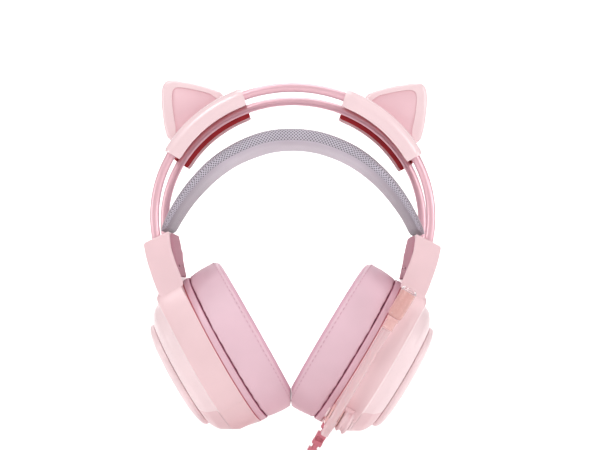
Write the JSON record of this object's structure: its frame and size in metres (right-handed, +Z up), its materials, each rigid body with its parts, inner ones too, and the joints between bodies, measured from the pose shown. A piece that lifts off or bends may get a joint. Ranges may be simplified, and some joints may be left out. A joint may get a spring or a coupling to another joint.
{
  "type": "gaming headset",
  "caption": "Over-ear headset with two sprung headband rods, a floating head pad, clip-on cat ears, padded cups, a swing-up boom microphone and a corded plug.",
  "frame": {"origin": "middle of the head pad's underside, where the headset rests on a head", "axes": "+Z up from the head through the band, -Y the way the wearer faces, +X the wearer's left, the side with the microphone"},
  "size_m": [0.1718, 0.0926, 0.2623],
  "materials": {
    "rod_enamel": "glossy pink enamel on spring steel",
    "pad_fabric": "lilac-grey knitted mesh",
    "tongue_strap": "satin pink strap",
    "housing_plastic": "pale pink, satin gloss",
    "cover_plastic": "grey pink, matte",
    "baffle_plastic": "purple pink, matte",
    "cap_plastic": "pink, satin",
    "clip_plastic": "pale pink, glossy",
    "ear_panel_plastic": "deeper pink, satin",
    "cushion_leatherette": "mauve pink, stitched, satin",
    "clamp_plastic": "black",
    "driver_plastic": "black",
    "magnet": "plated",
    "diaphragm": "clear film",
    "driver_cloth": "fine mesh",
    "screws": "bright",
    "boom_plastic": "milky translucent pink",
    "collar_plastic": "pink, glossy",
    "capsule_enamel": "peach enamel",
    "clear_plastic": "clear moulded tip",
    "relief_rubber": "rose, satin",
    "cord_jacket": "rose pink jacket",
    "tie_strap": "pink hook-and-loop strap",
    "plug_plastic": "pink moulding",
    "plug_metal": "plated contacts"
  },
  "bodies": {
    "headset": {"right_block": "housing_plastic", "right_inner_cover": "cover_plastic", "right_cushion": "cushion_leatherette", "right_baffle": "baffle_plastic", "right_outer_cap": "cap_plastic", "right_housing": "housing_plastic", "right_cup_screw": "screws", "right_front_clamp": "clamp_plastic", "right_front_clamp_screw": "screws", "right_rear_clamp": "clamp_plastic", "right_rear_clamp_screw": "screws", "right_upper_baffle_screw": "screws", "right_lower_baffle_screw": "screws", "right_driver_frame": "driver_plastic", "right_driver_magnet": "magnet", "right_driver_diaphragm": "diaphragm", "right_driver_mesh": "driver_cloth", "left_block": "housing_plastic", "left_inner_cover": "cover_plastic", "left_cushion": "cushion_leatherette", "left_baffle": "baffle_plastic", "left_outer_cap": "cap_plastic", "left_housing": "housing_plastic", "left_cup_screw": "screws", "left_front_clamp": "clamp_plastic", "left_front_clamp_screw": "screws", "left_rear_clamp": "clamp_plastic", "left_rear_clamp_screw": "screws", "left_upper_baffle_screw": "screws", "left_lower_baffle_screw": "screws", "left_driver_frame": "driver_plastic", "left_driver_magnet": "magnet", "left_driver_diaphragm": "diaphragm", "left_driver_mesh": "driver_cloth", "front_rod": "rod_enamel", "rear_rod": "rod_enamel", "mic_bracket": "housing_plastic", "mic_hinge_pin": "screws", "strain_relief": "relief_rubber", "cord": "cord_jacket", "cord_coil": "cord_jacket", "cord_tie": "tie_strap", "plug_body": "plug_plastic", "plug_contact": "plug_metal"},
    "pad": {"head_pad": "pad_fabric", "right_pad_tongue": "tongue_strap", "left_pad_tongue": "tongue_strap"},
    "right_ear_set": {"right_ear_clip": "clip_plastic", "right_ear": "clip_plastic", "right_ear_panel": "ear_panel_plastic"},
    "left_ear_set": {"left_ear_clip": "clip_plastic", "left_ear": "clip_plastic", "left_ear_panel": "ear_panel_plastic"},
    "microphone": {"mic_hub": "housing_plastic", "mic_boom": "boom_plastic", "mic_collar": "collar_plastic", "mic_capsule": "capsule_enamel", "mic_clear_cap": "clear_plastic"}
  },
  "joints": [
    {"name": "pad_lift", "type": "slide", "parent": "headset", "child": "pad", "axis": [0, 0, 1], "range_m": [0, 0.012], "stiffness_N_per_m": 300},
    {"name": "right_ear_lift", "type": "slide", "parent": "headset", "child": "right_ear_set", "axis": [0.65, 0, 0.76], "range_m": [0, 0.05]},
    {"name": "left_ear_lift", "type": "slide", "parent": "headset", "child": "left_ear_set", "axis": [-0.65, 0, 0.76], "range_m": [0, 0.05]},
    {"name": "mic_swing", "type": "hinge", "parent": "headset", "child": "microphone", "pos_m": [0.02721, -0.038, -0.15857], "axis": [0.866, 0, -0.5], "range_deg": [0, 105]}
  ]
}
